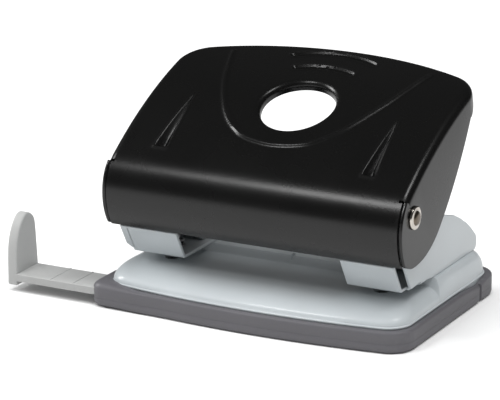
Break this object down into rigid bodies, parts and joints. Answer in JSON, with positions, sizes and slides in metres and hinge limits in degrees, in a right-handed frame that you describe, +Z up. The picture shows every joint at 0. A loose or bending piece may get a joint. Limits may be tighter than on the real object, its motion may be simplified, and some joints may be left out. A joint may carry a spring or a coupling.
{
  "type": "two-hole paper punch",
  "caption": "Desk punch with a pressed steel lever and base, two folded punching heads with sprung pins, a clip-on chip tray and a sliding paper guide.",
  "frame": {"origin": "centre of the flat underside of the chip tray, on the surface the punch stands on", "axes": "+X to the user's right across the punch, +Y from the paper side to the rear, +Z up"},
  "size_m": [0.152, 0.0844, 0.0813],
  "materials": {
    "lever_enamel": "black satin enamel with a fine texture",
    "base_enamel": "glossy pale blue-grey enamel",
    "tray_plastic": "dark grey satin plastic",
    "guide_plastic": "light grey moulded plastic",
    "nickel": "polished nickel plate",
    "zinc_plate": "zinc plated sheet steel",
    "tool_steel": "ground steel",
    "spring_steel": "drawn spring wire"
  },
  "bodies": {
    "base": {"base_plate": "base_enamel", "left_die": "tool_steel", "right_die": "tool_steel", "left_bracket": "base_enamel", "right_bracket": "base_enamel", "left_pin_guide": "zinc_plate", "right_pin_guide": "zinc_plate", "bracket_rivets": "zinc_plate", "left_pivot_rivet": "nickel", "right_pivot_rivet": "nickel", "left_pivot_washer": "zinc_plate", "right_pivot_washer": "zinc_plate", "left_return_spring": "spring_steel", "right_return_spring": "spring_steel"},
    "lever": {"lever": "lever_enamel"},
    "left_pin": {"left_punch_pin": "tool_steel", "left_spring_washer": "zinc_plate", "left_retaining_ring": "spring_steel"},
    "right_pin": {"right_punch_pin": "tool_steel", "right_spring_washer": "zinc_plate", "right_retaining_ring": "spring_steel"},
    "tray": {"chip_tray": "tray_plastic"},
    "guide": {"paper_guide": "guide_plastic"}
  },
  "joints": [
    {"name": "lever_pivot", "type": "hinge", "parent": "base", "child": "lever", "pos_m": [0, -0.0275, 0.0447], "axis": [-1, 0, 0], "range_deg": [0, 30], "stiffness_Nm_per_rad": 0.4, "springref_deg": -34.38},
    {"name": "left_pin_slide", "type": "slide", "parent": "base", "child": "left_pin", "axis": [0, 0, -1], "range_m": [0, 0.0071], "deforming": ["left_return_spring"]},
    {"name": "right_pin_slide", "type": "slide", "parent": "base", "child": "right_pin", "axis": [0, 0, -1], "range_m": [0, 0.0071], "deforming": ["right_return_spring"]},
    {"name": "tray_removal", "type": "slide", "parent": "base", "child": "tray", "axis": [0, 0, -1], "range_m": [0, 0.02]},
    {"name": "guide_slide", "type": "slide", "parent": "tray", "child": "guide", "axis": [-1, 0, 0], "range_m": [-0.0295, 0.042]}
  ],
  "couplings": [
    {"joint": "left_pin_slide", "follows": "lever_pivot", "m_per_rad": 0.01345},
    {"joint": "right_pin_slide", "follows": "lever_pivot", "m_per_rad": 0.01345}
  ]
}
